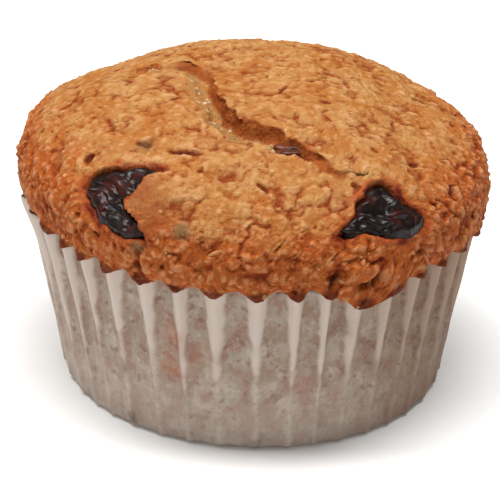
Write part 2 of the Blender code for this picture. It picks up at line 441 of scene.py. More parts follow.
raisinSet = {
    "raisin_left": {
        "heading": -52,
        "bleed": 0.2,  # how much juice has stained the crust around it at the least
        "dry": 0.0,
        "size": (6.8, 4.7, 1.5),
        "shift": (-0.7, 0.4, -0.35),  # from the middle of its place: along, across and out of the crust
        "middle": (-3.0, -0.5),
        # edge of the opening about the middle: degrees, distance
        "opening": (
            (-158, 3.6), (-140, 2.9), (-95, 2.5), (-51, 4.1), (-36, 5.8), (-20, 7.9), (-13, 9.3), (-8, 8.6),
            (-6, 6.3), (-5, 4.2), (12, 2.8), (23, 3.8), (33, 4.4), (52, 5.3), (58, 7.0), (62, 8.0),
            (68, 7.0), (99, 4.2), (138, 3.8), (164, 3.9), (185, 3.7),
        ),
        "seed": 3,
    },
    "raisin_right": {
        "heading": 12,
        "bleed": 0.2,
        "dry": 0.0,
        "size": (6.9, 4.6, 1.9),
        "shift": (0.0, 0.0, -0.3),
        "middle": (0.2, -0.2),
        "opening": (
            (-166, 4.9), (-160, 6.3), (-155, 7.3), (-145, 6.7), (-141, 5.3), (-137, 4.3), (-111, 3.5),
            (-77, 3.5), (-53, 3.7), (-25, 4.8), (-8, 5.9), (2, 6.3), (15, 5.1), (30, 3.7), (45, 3.6),
            (58, 4.1), (82, 4.6), (113, 4.0), (141, 3.2), (162, 4.1), (186, 4.1),
        ),
        "seed": 8,
    },
    "raisin_crack": {
        "heading": -14,
        "size": (3.0, 1.3, 1.2),
        "shift": (-0.4, -0.3, 0.0),
        "middle": (0.0, 0.0),
        "opening": (),
        "dry": 1.0,
        "seed": 5,
    },
}


def raisinFrame(name):
    # centre, and the ways along, across and out of the crust
    low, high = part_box(name)
    centre = np.array((low + high) / 2) / mm
    reach = np.array((centre[0] - caseSet["lean"], centre[1])) / crustSet["domeRadius"]
    share = np.hypot(*reach)
    fullness = crustSet["domeFullness"]
    riseShare = (1 - share**fullness) ** (1 / fullness)
    side = reach / share * share ** (fullness - 1) / crustSet["domeRadius"]
    out = np.array((side[0], side[1], riseShare ** (fullness - 1) / crustSet["domeRise"]))
    out /= np.linalg.norm(out)
    heading = radians(raisinSet[name]["heading"])
    along = np.array((cos(heading), sin(heading), 0.0))
    along -= out * along.dot(out)
    along /= np.linalg.norm(along)
    return centre, along, np.cross(out, along), out


def openingAway(name, points):
    # distance outside the opening's edge, and the way straight out from its middle
    choice = raisinSet[name]
    centre, along, across, out = raisinFrame(name)
    middle = centre + along * choice["middle"][0] + across * choice["middle"][1]
    offset = points - middle
    sideways = np.stack((offset @ along, offset @ across), axis=-1)
    radius = np.hypot(sideways[..., 0], sideways[..., 1]) + 1e-6
    turn = np.degrees(np.arctan2(sideways[..., 1], sideways[..., 0]))
    angles = [pair[0] for pair in choice["opening"]]
    reaches = [pair[1] for pair in choice["opening"]]
    edge = np.interp(turn, angles, reaches, period=360)
    away = np.where(np.abs(offset @ out) < 8, radius - edge, 99.0)
    ways = (sideways[..., :1] * along + sideways[..., 1:] * across) / radius[..., None]
    return away, ways


def creaseAt(points, span, seed, width, bare):
    # short winding grooves: the lines where a noise passes through zero, kept only here and there
    line = np.exp(-((noiseAt(points, span, seed) / width) ** 2))
    return line * smooth(bare, bare + 0.18, noiseAt(points, span * 1.1, seed + 0.5))


def crustRelief(points, low):
    # fine relief in millimetres; low is 0 on the crown and 1 at the crumbly foot of the crust
    wobble = np.stack([noiseAt(points, 1.6, seed) for seed in (1, 2, 3)], axis=-1)
    bent = points + wobble * 0.9
    squat = points * np.array((1, 1, 1.35))  # the grains of the steep foot are wider than tall
    plateNear, plateNext, pick = cellsAt(bent, 3.0, 4)
    plates = (pick - 0.5) * 0.24 + (0.5 - plateNear) * 0.2
    seams = np.exp(-(((plateNext - plateNear) / 0.12) ** 2)) * smooth(0.1, 0.4, noiseAt(points, 4.5, 13))
    grainNear, _, grainPick = cellsAt(squat + wobble * 0.5, 1.0, 6)
    grains = np.maximum(0, 1 - (grainNear / 0.62) ** 2) * (0.25 + 0.75 * grainPick)
    smallNear, _, smallPick = cellsAt(squat + wobble * 0.25, 0.6, 15)
    small = np.maximum(0, 1 - (smallNear / 0.6) ** 2) * smooth(0.25, 0.9, smallPick)
    creases = np.maximum(creaseAt(bent, 2.8, 5, 0.05, 0.24), 0.8 * creaseAt(bent, 1.5, 12, 0.07, 0.32))
    creases = creases * (1 - 0.6 * low)
    pitNear, _, pitPick = cellsAt(bent, 1.5, 7)
    pits = smooth(0.4, 0.1, pitNear) * (pitPick > 0.94 - 0.1 * low)
    flakeNear, _, flakePick = cellsAt(points + wobble * 0.8, 1.5, 8)
    flakes = smooth(0.5, 0.2, flakeNear) * (flakePick > 0.84)
    relief = plates + 0.3 * noiseAt(points, 3.6, 11)
    relief = relief + fractalAt(points, 1.3, 9, 3, 0.4) * (0.1 + 0.06 * low)
    relief = relief + grains * (0.15 + 0.17 * low) + small * (0.05 + 0.13 * low)
    relief = relief - np.maximum(creases, seams) * (0.17 + 0.17 * low)
    relief = relief - pits * (0.2 + 0.3 * low) + flakes * (0.14 + 0.1 * low)
    marks = {
        # crease marks the grooves, pits and seams; the crust material darkens them as painted shade
        "crease": np.maximum(np.maximum(creases, pits), seams),
        "flake": flakes * (0.4 + 0.6 * flakePick) * (1 - 0.6 * low),
        "grain": grains,
    }
    return relief, marks


# places where the crust is smooth and moist, or greyish: x, y, reach, strength
moistSpots = (
    (-14.3, -24.0, 3.0, 0.8),
    (-12.4, -26.6, 2.8, 0.7),
)
greySpots = (
    (-14.4, -27.3, 1.2, 1.0),
    (-8.9, -28.5, 1.2, 0.9),
    (-14.0, -15.5, 1.5, 0.5),
)


def nearestPoint(points, placeX, placeY):
    # the point of the crust over x, y
    away = (points[..., 0] - placeX) ** 2 + (points[..., 1] - placeY) ** 2 + 99 * (points[..., 2] < 28)
    return points.reshape(-1, 3)[np.argmin(away)]


def spotShare(spots, points):
    total = np.zeros(points.shape[:-1])
    for placeX, placeY, reach, strength in spots:
        away = ((points - nearestPoint(points, placeX, placeY)) ** 2).sum(-1) / reach**2
        total = np.maximum(total, strength * np.exp(-(away**1.5)))
    return total


def tearCrust(points):
    # the torn edge across the crown: one side stands up and hangs over a sloping trough
    route = smoothRoute(tornEdge, 8)
    index, away, across = nearestOnRoute(route, points[..., 0], points[..., 1])
    ragged = 0.8 * noiseAt(points, 1.9, 21) + 0.1 * noiseAt(points, 1.0, 22)
    away = away + ragged * np.exp(-((away / 2.0) ** 2))
    shift = gather(away, 1.6, 0.6)
    points[..., :2] += across * shift[..., None]
    away = away + shift
    breadth, depth = route[index, 2], route[index, 3]
    breadth = breadth * (1 + 0.35 * noiseAt(points, 2.3, 23))
    strength = np.minimum(1, depth / 1.8)
    fallen = np.clip(-away / breadth, 0, 1)
    trough = depth * 0.85 * (1 - smooth(0.2, 1.0, fallen)) * (away < 0)
    wall = smooth(-1.0, 0.05, away)
    raised = 0.5 * strength * np.exp(-((np.maximum(away, 0) / 2.6) ** 2))
    change = np.where(away < 0.05, -trough * (1 - wall) + raised * wall, raised)
    hang = 0.12 * strength * np.exp(-((away / 0.9) ** 2)) * np.where(away > -0.08, 1, -0.3)
    points[..., :2] -= across * hang[..., None]
    points[..., 2] += change
    crumb = smooth(0.3, 0.85, depth) * smooth(1.0, 0.8, fallen) * smooth(-0.7, -1.0, away)
    face = smooth(0.3, 1.0, depth) * smooth(-1.05, -0.75, away) * smooth(0.1, -0.02, away)
    lumpy = 0.4 * noiseAt(points, 1.7, 24) * face
    points[..., :2] += across * lumpy[..., None]
    return points, crumb, face


# folds of the overrun lump: angle, height, reach around, reach upwards, rise
lumpFolds = (
    (26.0, 27.4, 2.4, 1.1, 0.7),
    (22.5, 24.4, 2.2, 1.2, 0.5),
    (34.5, 26.0, 1.8, 0.9, 0.5),
)

# clefts and pits in the lump and beside it: angle, height, heading, length, half width, depth
lumpClefts = (
    (20.0, 26.2, 62, 3.4, 0.5, 1.5),
    (28.6, 25.5, 22, 5.2, 0.38, 1.2),
    (30.2, 28.2, 15, 2.6, 0.3, 0.6),
    (43.8, 27.2, 20, 2.2, 0.5, 0.9),
    (52.8, 27.6, 60, 2.4, 0.5, 1.0),
    (61.0, 26.6, 80, 3.0, 0.6, 1.2),
)


def foldMap(points, angle):
    total = np.zeros(angle.shape)
    for turn, height, reachAround, reachUp, rise in lumpFolds:
        sideways = (angle - radians(turn)) * crustSet["domeRadius"]
        upward = points[..., 2] - height
        total = total + rise * np.exp(-((sideways / reachAround) ** 2) - (upward / reachUp) ** 2)
    return total


def cleftMap(points, angle):
    depthMap = np.zeros(angle.shape)
    wiggle = 0.35 * noiseAt(points, 1.4, 33)
    for turn, height, heading, length, halfWidth, depth in lumpClefts:
        tip = radians(heading)
        sideways = (angle - radians(turn)) * crustSet["domeRadius"]
        upward = points[..., 2] - height
        alongWay = sideways * cos(tip) + upward * sin(tip)
        acrossWay = upward * cos(tip) - sideways * sin(tip) + wiggle
        ends = np.clip(1 - (2 * alongWay / length) ** 2, 0, 1)
        depthMap = np.maximum(depthMap, depth * ends * np.exp(-((acrossWay / halfWidth) ** 2)))
    return depthMap


def splitCrust(points):
    x, y = points[..., 0], points[..., 1]
    depthMap = np.zeros(x.shape)
    wiggle = 0.3 * noiseAt(points, 1.3, 31)
    for placeX, placeY, heading, length, halfWidth, depth in splits:
        turn = radians(heading)
        alongWay = (x - placeX) * cos(turn) + (y - placeY) * sin(turn)
        acrossWay = (y - placeY) * cos(turn) - (x - placeX) * sin(turn) + wiggle
        ends = np.clip(1 - (2 * alongWay / length) ** 2, 0, 1)
        depthMap = np.maximum(depthMap, depth * ends * np.exp(-((acrossWay / halfWidth) ** 2)))
    return depthMap


def buildCrust():
    reach, angle = squareToDisc(crustSet["gridSide"])
    points, below = crustBase(reach, angle)
    normals = gridNormals(points)
    onDome = 1 - smooth(0.3, 1.0, below)
    points += normals * (swelling(points[..., 0], points[..., 1]) * onDome)[..., None]
    print("crust: dome laid out")

    opened = np.zeros(reach.shape)
    stain = np.zeros(reach.shape)
    for name, choice in raisinSet.items():
        if not choice["opening"]:
            continue
        away, ways = openingAway(name, points)
        shift = gather(away, 1.0, 0.6)
        points += ways * shift[..., None]
        away = away + shift
        opened = np.maximum(opened, smooth(0.1, -0.3, away))
        patchy = 0.5 + 0.9 * noiseAt(points, 2.6, choice["seed"] + 0.3)
        stain = np.maximum(stain, smooth(1.5, 0.0, away) * np.clip(patchy, choice["bleed"], 1))
        stain = np.maximum(stain, smooth(0.15, -0.15, away))
    print("crust: openings for the raisins")

    points, crumb, face = tearCrust(points)
    normals = gridNormals(points)
    heightNoise = noiseAt(points, 6.0, 12)
    sideways = (points[..., 0] / crustSet["domeRadius"]) ** 2  # the sides are browned higher up
    low = smooth(36.5, 28.5, points[..., 2] + 1.8 * heightNoise + 0.6 - 2.6 * sideways)
    relief, marks = crustRelief(points, low)
    cuts = splitCrust(points)
    clefts = cleftMap(points, angle)
    moist = spotShare(moistSpots, points)
    calm = 1 - 0.7 * np.clip(np.maximum(np.maximum(stain, opened), 0.7 * moist), 0, 1)
    nearLip = smooth(0.35, 0.95, below)
    beadNear, _, beadPick = cellsAt(points, 0.85, 14)
    beads = np.maximum(0, 1 - (beadNear / 0.42) ** 2) * (beadPick > 0.45) * crumb
    lumps = 0.3 * fractalAt(points, 1.3, 17, 3, 0.5) * crumb
    relief = relief * calm * (1 - 0.3 * crumb) + 0.3 * beads + lumps
    relief = relief * (1 - 0.7 * nearLip) * (1 - 0.5 * face)
    height = relief + foldMap(points, angle) - cuts * onDome - clefts - 3.2 * opened
    points += normals * height[..., None]
    print("crust: relief")

    # cavity and hollow: how far each point lies above or below its surroundings; the crust material uses them for
    # painted shade in the low places and painted highlight on the raised ones
    lift = relief - cuts
    marks["cavity"] = lift - blurGrid(lift, 2)
    marks["hollow"] = lift - blurGrid(lift, 7)
    marks["low"] = low
    marks["crumb"] = crumb
    marks["face"] = face
    marks["stain"] = stain
    marks["moist"] = moist
    marks["grey"] = spotShare(greySpots, points)
    marks["bead"] = beads
    # split marks the splits and clefts; the crust material darkens them as painted shade
    marks["split"] = np.maximum(smooth(0.1, 0.5, cuts), smooth(0.3, 1.2, clefts))
    marks["lump"] = lumpShare(angle) * smooth(0.1, 0.7, below)
    # lip mark: the drooping lip, strongest over each crest, which the material darkens as painted shade
    marks["lipShade"] = smooth(0.2, 0.7, below) * (0.2 + 0.8 * crestShare(angle, 1.3))
    return points, angle, marks


def ballShape(subdivisions):
    shape = bmesh.new()
    bmesh.ops.create_icosphere(shape, subdivisions=subdivisions, radius=1.0)
    ball = np.array([vert.co for vert in shape.verts])
    faces = [[vert.index for vert in face.verts] for face in shape.faces]
    shape.free()
    return ball, faces


crumbSet = {
    "count": 460,
    "shortest": 0.18,
    "longest": 0.48,
    "sunk": 0.1,
    "seed": 7,
}

# pale shreds baked into the crust: x and y of one end, then of the other, half width
shreds = (
    (1.3, -30.1, 4.0, -28.4, 0.2),
    (-5.7, -29.9, -3.9, -30.2, 0.26),
    (8.4, -28.9, 9.6, -28.0, 0.2),
)


def addCrumbs(points, marks):
    # crumbs baked onto the crust, most of them near its foot
    chance = np.random.default_rng(crumbSet["seed"])
    normals = gridNormals(points).reshape(-1, 3)
    bare = (1 - marks["lipShade"]) * (1 - np.minimum(1, 2 * marks["stain"])) * (1 - marks["face"]) * (1 - marks["split"])
    weight = ((0.05 + marks["low"]) * np.maximum(0, bare)).ravel()
    flat = points.reshape(-1, 3)
    ball, ballFaces = ballShape(1)
    allPoints = []
    faces = []

    def addOne(centre, along, out, sizes):
        start = len(allPoints) * len(ball)
        frameRows = np.array((along, np.cross(out, along), out))
        uneven = 1 + 0.26 * chance.normal(0, 1, (len(ball), 1))
        allPoints.append(centre + (ball * uneven * np.array(sizes)) @ frameRows)
        faces.extend([[index + start for index in face] for face in ballFaces])

    for index in chance.choice(weight.size, crumbSet["count"], replace=False, p=weight / weight.sum()):
        out = normals[index]
        along = np.cross(out, chance.normal(0, 1, 3))
        along /= np.linalg.norm(along)
        length = chance.uniform(crumbSet["shortest"], crumbSet["longest"])
        sizes = (length, length * chance.uniform(0.5, 0.9), length * chance.uniform(0.3, 0.55))
        addOne(flat[index] - out * sizes[2] * crumbSet["sunk"], along, out, sizes)
    for startX, startY, endX, endY, halfWidth in shreds:
        start = nearestPoint(points, startX, startY)
        end = nearestPoint(points, endX, endY)
        middle = nearestPoint(points, (startX + endX) / 2, (startY + endY) / 2)
        out = normals[np.argmin(((flat - middle) ** 2).sum(-1))]
        along = (end - start) / np.linalg.norm(end - start)
        out = out - along * out.dot(along)
        out /= np.linalg.norm(out)
        addOne(middle + out * 0.12, along, out, (np.linalg.norm(end - start) / 2, halfWidth, halfWidth * 0.6))
    crumbs = makeMesh("crustCrumbs", np.vstack(allPoints), faces)
    crumbs.data.shade_flat()
    count = len(allPoints) * len(ball)
    paleness = np.repeat(chance.uniform(0.0, 0.8, len(allPoints)), len(ball))
    addMark(crumbs, "flake", paleness)
    addMark(crumbs, "grain", np.full(count, 0.5))
    addMark(crumbs, "low", np.full(count, 0.55))
    return crumbs


def edgeLoop(side):
    # the square grid's outer points, in order
    index = np.arange(side * side).reshape(side, side)
    return np.concatenate((index[:-1, 0], index[-1, :-1], index[:0:-1, -1], index[0, :0:-1]))


def addCake(points, angle, marks):
    side = crustSet["gridSide"]
    index = np.arange(side * side).reshape(side, side)
    quads = np.stack((index[:-1, :-1], index[1:, :-1], index[1:, 1:], index[:-1, 1:]), axis=-1).reshape(-1, 4)
    faces = quads.tolist()
    rim = edgeLoop(side)
    rimAngle = angle.ravel()[rim]
    lipRadius, lipHeight = lipAt(rimAngle)
    top = rimHeight(rimAngle)
    outside = np.minimum(lipRadius - 0.05, caseRadius(rimAngle, top) + 0.1)

    def inside(height, gap):
        return caseRadius(rimAngle, height) - caseSet["paper"] - gap

    rings = [
        around(rimAngle, outside, np.minimum(lipHeight + 0.05, top + 0.12)),
        around(rimAngle, np.minimum(outside, inside(top, -0.05) + 0.1), top + 0.14),
        around(rimAngle, np.minimum(outside, inside(top, 0.12)), top + 0.1),
        around(rimAngle, inside(top - 1.2, 0.3), top - 1.2),
        around(rimAngle, inside(top / 2, 0.3), top / 2),
        around(rimAngle, inside(0 * top + 1.2, 0.4), 0 * top + 1.2),
        around(rimAngle, 0 * top + caseSet["baseRadius"] - 1.6, 0 * top + 0.5),
    ]
    allPoints = [points.reshape(-1, 3)]
    previous = rim.tolist()
    start = side * side
    for ring in rings:
        current = list(range(start, start + len(rim)))
        faces += bridgeRows(previous, current)
        allPoints.append(ring)
        previous = current
        start += len(rim)
    allPoints.append(np.array([[0, 0, 0.5]]))
    faces += [(previous[i], previous[(i + 1) % len(previous)], start) for i in range(len(previous))]
    allPoints = np.vstack(allPoints)
    cake = makeMesh("cakeCrust", allPoints, faces)
    for name, values in marks.items():
        padded = np.zeros(len(allPoints))
        padded[: values.size] = values.ravel()
        # the hidden rings under the crust count as foot and get the full painted lip shade
        padded[values.size :] = {"low": 1.0, "lipShade": 1.0}.get(name, 0.0)
        addMark(cake, name, padded)
    return cake


# paper case


# where juice shows through the paper, and dark grease near the base: angle, height, reach, strength
spills = (
    (-20.0, 16.4, 1.5, 0.9),
    (-20.8, 11.4, 1.6, 0.9),
    (-22.0, 13.8, 1.2, 0.5),
    (-14.0, 14.0, 1.6, 0.5),
    (13.7, 10.0, 1.3, 0.5),
    (150.0, 12.0, 1.8, 0.7),
)
seeps = (
    (-35.5, 1.6, 1.1, 0.9),
    (-36.7, 9.1, 0.6, 0.7),
    (-50.3, 6.2, 0.5, 0.8),
    (-12.0, 4.6, 0.6, 0.5),
    (24.5, 18.0, 1.6, 0.4),
    (2.5, 1.4, 1.0, 0.5),
    (110.0, 7.0, 0.9, 0.6),
    (205.0, 3.0, 1.0, 0.7),
)


def paperSpots(spots, points):
    total = np.zeros(len(points))
    for turn, height, reach, strength in spots:
        middle = around(radians(turn), caseRadius(radians(turn), height), np.float64(height))
        away = ((points - middle) ** 2).sum(-1) / reach**2
        total = np.maximum(total, strength * np.exp(-away))
    return total


def addCase():
    steps = caseSet["pleats"] * caseSet["stepsPerPleat"]
    angle = np.linspace(0, 2 * pi, steps, endpoint=False)
    rounding = caseSet["baseRounding"]
    rings = []
    pressed = []
    for share in (0.35, 0.7, 0.9, 1.0):
        rings.append(around(angle, 0 * angle + (caseSet["baseRadius"] - rounding) * share, 0 * angle + 0.02))
        pressed.append(0 * angle + 1)
    number = pleatNumber(angle)
    crease = rng.normal(0, 1, caseSet["pleats"])[number]
    for row in range(caseSet["wallRows"] + 1):
        share = row / caseSet["wallRows"]
        height = rounding * 0.3 + (rimHeight(angle) - rounding * 0.3) * share
        tuck = rounding * np.maximum(0, 1 - height / rounding) ** 2
        radius = caseRadius(angle, height) - tuck
        flat = np.stack((angle * 27, height * 0.55, 0 * angle), axis=-1)
        buckle = 0.10 * noiseAt(around(angle, 0 * angle + 27, height) * np.array((1, 1, 0.6)), 2.4, 41)
        ripple = 0.035 * noiseAt(flat, 0.8, 42)
        flare = 0.7 * np.maximum(0, -np.sin(angle)) ** 10 * smooth(0.75, 1.0, share)
        radius = radius + (buckle + ripple) * smooth(0, 0.1, share) + flare + 0.05 * crease * share**3
        rings.append(around(angle, radius, height))
        valley = caseSet["baseRadius"] + (caseSet["rimRadius"] - caseSet["baseRadius"]) * height / caseSet["rimHeight"]
        standing = caseRadius(angle, height) - valley
        # painted highlight: thin lighter lines down each crest, strongest near the base, counted as unpressed paper
        ridgeHighlight = crestShare(angle, 7.0) * (1 - share)
        pressed.append(1 - np.maximum(smooth(0.1, 1.0, standing), 0.45 * ridgeHighlight))
    points = np.vstack(rings + [np.array([[0, 0, 0.02]])])
    faces = []
    for row in range(len(rings) - 1):
        lower = list(range(row * steps, (row + 1) * steps))
        faces += bridgeRows(lower, [i + steps for i in lower])
    centre = len(points) - 1
    faces += [(centre, (i + 1) % steps, i) for i in range(steps)]
    case = makeMesh("paperCase", points, faces)
    addMark(case, "pressed", np.concatenate(pressed + [np.ones(1)]))
    addMark(case, "level", points[:, 2] / caseSet["rimHeight"])
    turn = np.degrees(np.where(angle > pi, angle - 2 * pi, angle))
    # the right side darker and warmer: part grease, part painted shade
    rightSideGreaseAndShade = smooth(15, 60, turn) * smooth(170, 110, turn)
    addMark(case, "spill", paperSpots(spills, points))
    addMark(case, "seep", paperSpots(seeps, points))
    addMark(case, "soaked", np.concatenate([rightSideGreaseAndShade] * len(rings) + [np.zeros(1)]))
    sheet = case.modifiers.new("paper", "SOLIDIFY")
    sheet.thickness = caseSet["paper"] * mm
    sheet.offset = -1.0
    return case


# raisins


def addRaisin(name, choice):
    centre, along, across, out = raisinFrame(name)
    ball, faces = ballShape(6 if choice["opening"] else 5)
    flatTop = np.sign(ball[:, 2]) * np.abs(ball[:, 2]) ** 0.6  # flatter above and below, rounder at the sides
    body = np.column_stack((ball[:, :2], flatTop)) * np.array(choice["size"])
    wobble = np.stack([noiseAt(body, 2.6, choice["seed"] + shift) for shift in (1, 2, 3)], axis=-1)
    drawn = body * np.array((0.34, 1.0, 1.0)) + wobble * 0.9
    folds = np.abs(noiseAt(drawn, 1.5, choice["seed"]))
    puckers = np.abs(noiseAt(body + wobble, 0.9, choice["seed"] + 7))
    sag = noiseAt(body, 4.0, choice["seed"] + 5)
    lift = 1.15 * folds + 0.3 * puckers + 0.5 * sag - 0.5
    body = body + ball * lift[:, None] + np.array(choice["shift"])
    points = centre + body[:, :1] * along + body[:, 1:2] * across + body[:, 2:] * out
    if choice["opening"]:
        away, _ = openingAway(name, points)
        tuck = 1.0 * smooth(-1.1, 0.15, away) + 0.9 * np.maximum(0, away)
        points = points - out * tuck[:, None]
    raisin = makeMesh(name.replace("_", "") + "Fruit", points, faces)
    addMark(raisin, "fold", folds)
    addMark(raisin, "pucker", puckers)
    addMark(raisin, "dry", np.full(len(points), choice["dry"]))
    return raisin


# materials


def addNode(tree, kind, values=None, **settings):
    node = tree.nodes.new(kind)
    for name, value in settings.items():
        setattr(node, name, value)
    for key, value in (values or {}).items():
        if isinstance(value, bpy.types.NodeSocket):
            tree.links.new(value, node.inputs[key])
        else:
            node.inputs[key].default_value = value
    return node


def newMaterial(name):
    material = bpy.data.materials.new(name)
    material.use_nodes = True
    tree = material.node_tree
    tree.nodes.clear()
    shader = addNode(tree, "ShaderNodeBsdfPrincipled")
    output = addNode(tree, "ShaderNodeOutputMaterial", {"Surface": shader.outputs[0]})
    output.location = (300, 0)
    place = addNode(tree, "ShaderNodeTexCoord").outputs["Object"]
    inMillimetres = addNode(tree, "ShaderNodeVectorMath", {0: place, 1: (1000, 1000, 1000)}, operation="MULTIPLY")
    return material, tree, shader, inMillimetres.outputs[0]


def readMark(tree, name):
    return addNode(tree, "ShaderNodeAttribute", attribute_name=name).outputs["Fac"]


def speckle(tree, place, span, detail=3.0, roughness=0.55, distortion=0.0):
    values = {"Vector": place, "Scale": 1 / span, "Detail": detail, "Roughness": roughness, "Distortion": distortion}
    return addNode(tree, "ShaderNodeTexNoise", values).outputs[0]


def grainCells(tree, place, span, feature="F1"):
    node = addNode(tree, "ShaderNodeTexVoronoi", {"Vector": place, "Scale": 1 / span}, feature=feature)
    return node.outputs["Distance"]


def remap(tree, value, low, high, toLow=0.0, toHigh=1.0):
    node = addNode(tree, "ShaderNodeMapRange", {0: value, 1: low, 2: high, 3: toLow, 4: toHigh})
    node.interpolation_type = "SMOOTHSTEP"
    return node.outputs[0]


def blendColour(tree, factor, first, second, mode="MIX"):
    node = addNode(tree, "ShaderNodeMix", {0: factor, 6: first, 7: second}, data_type="RGBA", blend_type=mode)
    return node.outputs[2]


def maths(tree, operation, first, second=0.0):
    return addNode(tree, "ShaderNodeMath", {0: first, 1: second}, operation=operation).outputs[0]


crustLooks = {
    "pale": tone(183, 134, 79),
    "golden": tone(172, 109, 49),
    "amber": tone(157, 85, 29),
    "brown": tone(175, 84, 28),
    "rust": tone(146, 56, 16),
    "deep": tone(128, 48, 8),
    "pit": tone(91, 31, 10),
    "flake": tone(200, 150, 101),
    "peach": tone(208, 150, 102),
    "crumb": tone(168, 116, 62),
    "crumbGrey": tone(150, 112, 70),
    "bead": tone(216, 188, 150),
    # red-brown of the torn wall, partly painted shade
    "tornWallAndShade": tone(140, 62, 18),
    "juicy": tone(160, 72, 30),
    "stain": tone(100, 30, 12),
    "moist": tone(138, 70, 36),
    "grey": tone(118, 94, 62),
    # dark maroon painted shade for the lip's underside
    "lipShade": tone(92, 34, 14),
    "roughness": 0.62,
}


